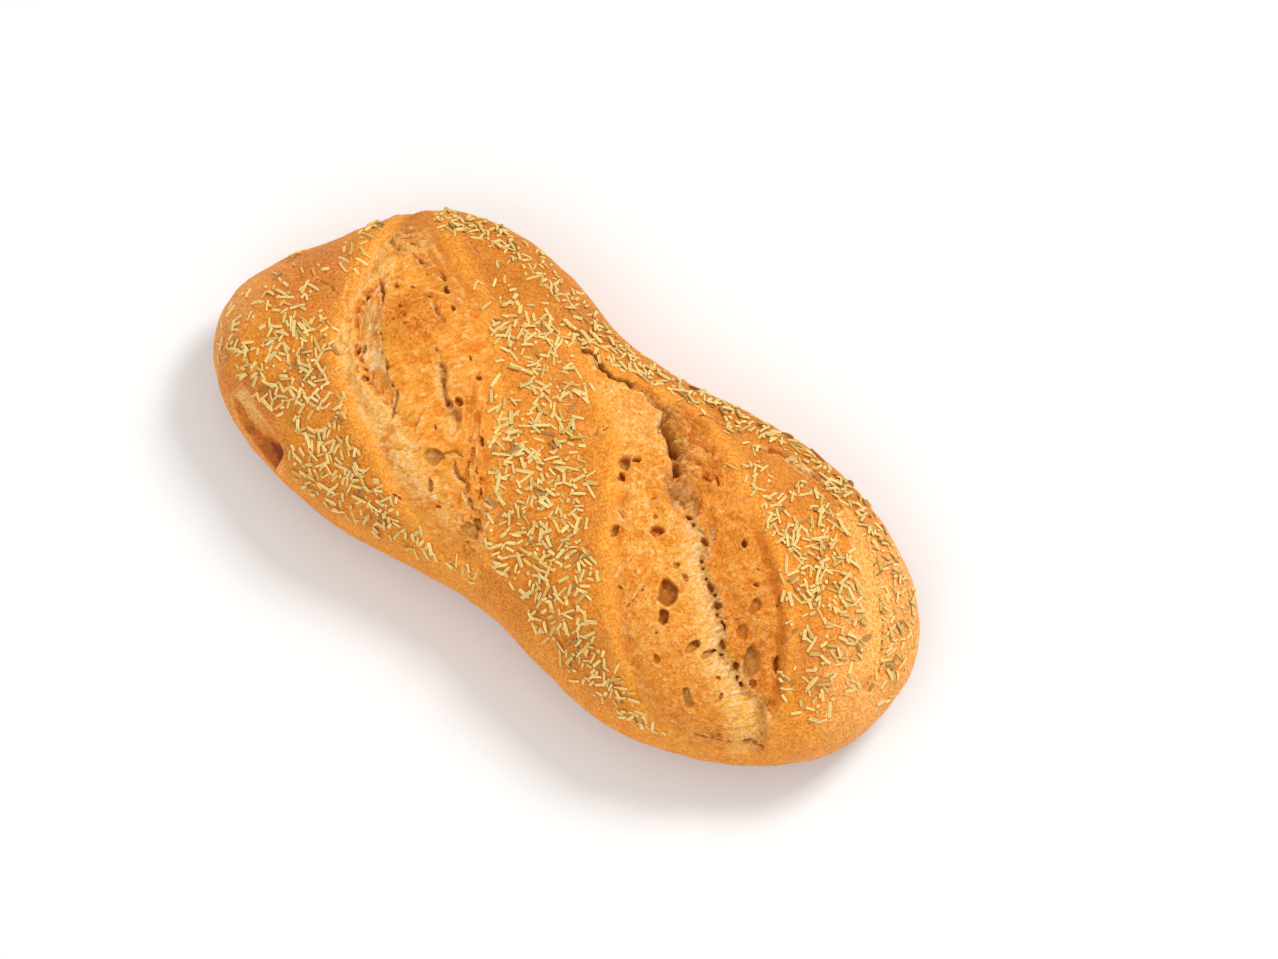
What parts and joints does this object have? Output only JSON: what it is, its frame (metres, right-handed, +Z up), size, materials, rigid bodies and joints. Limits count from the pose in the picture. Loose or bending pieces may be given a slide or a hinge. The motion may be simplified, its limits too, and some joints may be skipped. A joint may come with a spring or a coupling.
{
  "type": "rosemary bread",
  "caption": "Long crusty bread loaf with a narrow waist, torn-open slashes across the top and dried rosemary needles on the crust.",
  "frame": {"origin": "middle of the loaf's plan, on the surface that it lies on", "axes": "+X along the loaf towards the end with the wider torn slash, +Y across it, +Z up"},
  "size_m": [0.2998, 0.1382, 0.0703],
  "materials": {
    "crust": "matt golden-brown baked crust with straw-coloured dried herb needles"
  },
  "bodies": {
    "root": {"loaf": "crust"}
  },
  "joints": []
}
